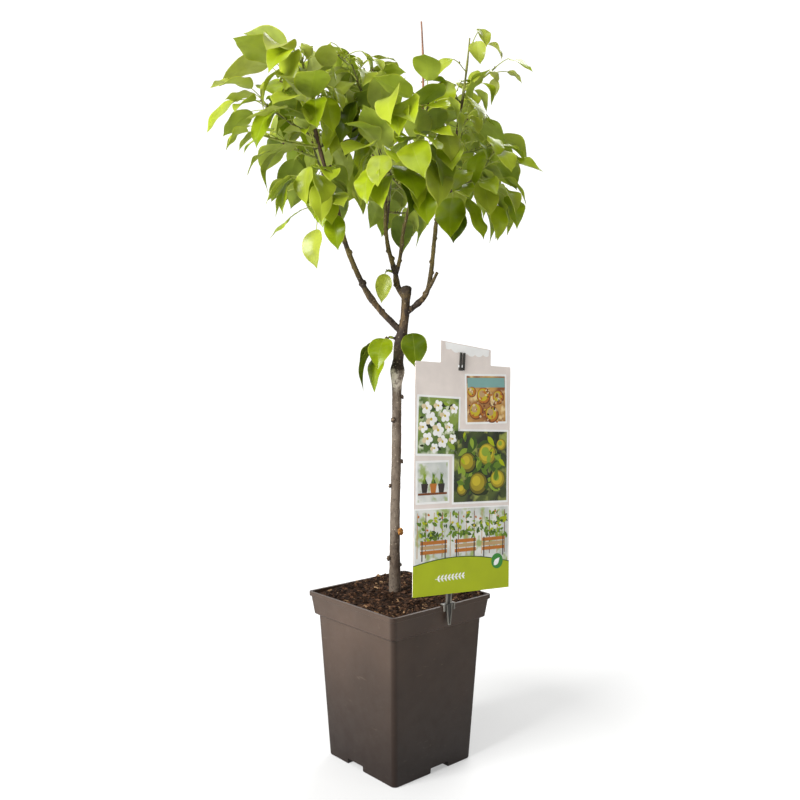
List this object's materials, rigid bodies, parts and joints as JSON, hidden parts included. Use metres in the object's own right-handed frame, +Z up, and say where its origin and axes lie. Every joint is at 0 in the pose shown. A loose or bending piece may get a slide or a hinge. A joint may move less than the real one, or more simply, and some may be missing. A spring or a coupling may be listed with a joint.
{
  "type": "potted pear tree",
  "caption": "Young pear tree with a grafted stem, forked boughs and a rounded leafy crown, in a square nursery pot with a picture label clipped to its rim.",
  "frame": {"origin": "centre of the pot's flat underside", "axes": "+Z up along the tree, -Y to the front, where a corner of the pot and the label's picture side face, +X to the right seen from the front"},
  "size_m": [0.4704, 0.4042, 1.0566],
  "materials": {
    "pot": "matt dark grey-brown recycled plastic",
    "soil": "loose bark and compost",
    "bark": "grey-brown bark",
    "foliage": "smooth green leaves on thin twigs",
    "card": "coated card, printed on its front",
    "clip": "satin dark grey plastic"
  },
  "bodies": {
    "root": {"pot": "pot", "soil": "soil", "trunk": "bark", "left_bough": "bark", "centre_bough": "bark", "inner_bough": "bark", "right_bough": "bark", "foliage_left_top": "foliage", "foliage_left_low": "foliage", "foliage_left_back": "foliage", "foliage_centre_top": "foliage", "foliage_centre_back": "foliage", "foliage_front": "foliage", "foliage_right_top": "foliage", "foliage_right_low": "foliage", "foliage_right_back": "foliage", "sprig_hanging": "foliage", "sprig_left": "foliage", "sprig_right": "foliage", "label_card": "card", "label_clip": "clip"}
  },
  "joints": []
}
